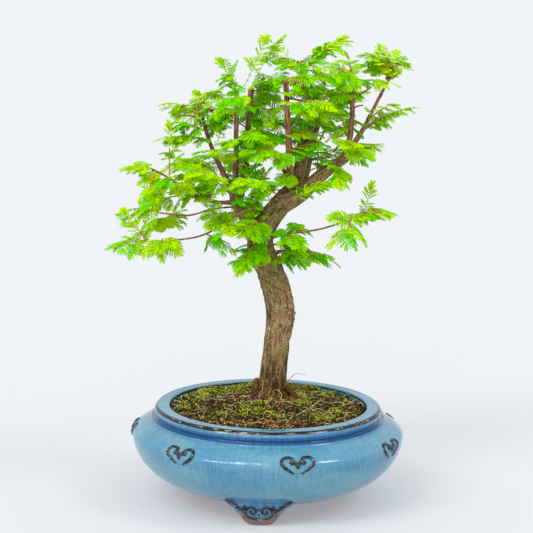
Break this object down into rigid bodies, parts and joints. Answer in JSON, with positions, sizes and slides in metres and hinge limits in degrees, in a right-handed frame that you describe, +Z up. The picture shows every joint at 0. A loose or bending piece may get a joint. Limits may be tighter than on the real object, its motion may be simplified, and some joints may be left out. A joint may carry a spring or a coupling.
{
  "type": "dawn redwood bonsai in a pot",
  "caption": "Small potted conifer with a leaning, forked trunk, sawn upright shoots and airy sprays of soft needles, in a round glazed pot on bracket feet.",
  "frame": {"origin": "on the ground under the middle of the plant's width and depth", "axes": "+Z up along the plant's height, +X to the right of its front, the front faces -Y"},
  "size_m": [0.2802, 0.26, 0.4415],
  "materials": {
    "glaze": "glossy mottled blue glaze, brown where it runs thin on edges and raised lines; bare red-brown clay on the feet",
    "soil": "matt brown potting mix with fine roots, litter and patches of moss",
    "bark": "matt fibrous grey-brown bark in long strips",
    "needles": "soft satin fresh green needles"
  },
  "bodies": {
    "root": {"pot": "glaze", "soil": "soil", "trunk": "bark", "left_fork": "bark", "left_stub_front": "bark", "left_stub_back": "bark", "left_slant": "bark", "left_bough": "bark", "left_long_back": "bark", "left_long_front": "bark", "right_bough": "bark", "right_stub": "bark", "right_slant": "bark", "front_stub": "bark", "leader_shoot": "bark", "right_low": "bark", "back_low": "bark", "back_mid": "bark", "back_top": "bark", "foliage_left_front_tip": "needles", "foliage_left_front_fan": "needles", "foliage_left_front_sprig": "needles", "foliage_left_back_tip": "needles", "foliage_left_back_fan": "needles", "foliage_left_bough_tip": "needles", "foliage_left_bough_low": "needles", "foliage_left_bough_fan": "needles", "foliage_left_bough_sprig": "needles", "foliage_front_left_fan": "needles", "foliage_left_slant_side": "needles", "foliage_left_slant_tip": "needles", "foliage_left_slant_arch": "needles", "foliage_left_stub_front_tip": "needles", "foliage_left_stub_front_low": "needles", "foliage_left_stub_front_fan": "needles", "foliage_left_stub_back_tip": "needles", "foliage_left_stub_back_fan": "needles", "foliage_front_mid_fan": "needles", "foliage_front_stub_low": "needles", "foliage_left_low_fan": "needles", "foliage_trunk_front": "needles", "foliage_right_low_near": "needles", "foliage_trunk_right": "needles", "foliage_trunk_left": "needles", "foliage_right_bough_under": "needles", "foliage_right_bough_fan": "needles", "foliage_right_spur": "needles", "foliage_right_slant_tip": "needles", "foliage_leader_top": "needles", "foliage_right_stub_tip": "needles", "foliage_front_stub_tip": "needles", "foliage_front_stub_fan": "needles", "foliage_leader_side": "needles", "foliage_right_low_fan": "needles", "foliage_right_low_tip": "needles", "foliage_back_low_tip": "needles", "foliage_back_mid_tip": "needles", "foliage_back_top_tip": "needles", "foliage_back_left_fan": "needles", "foliage_back_right_fan": "needles"}
  },
  "joints": []
}
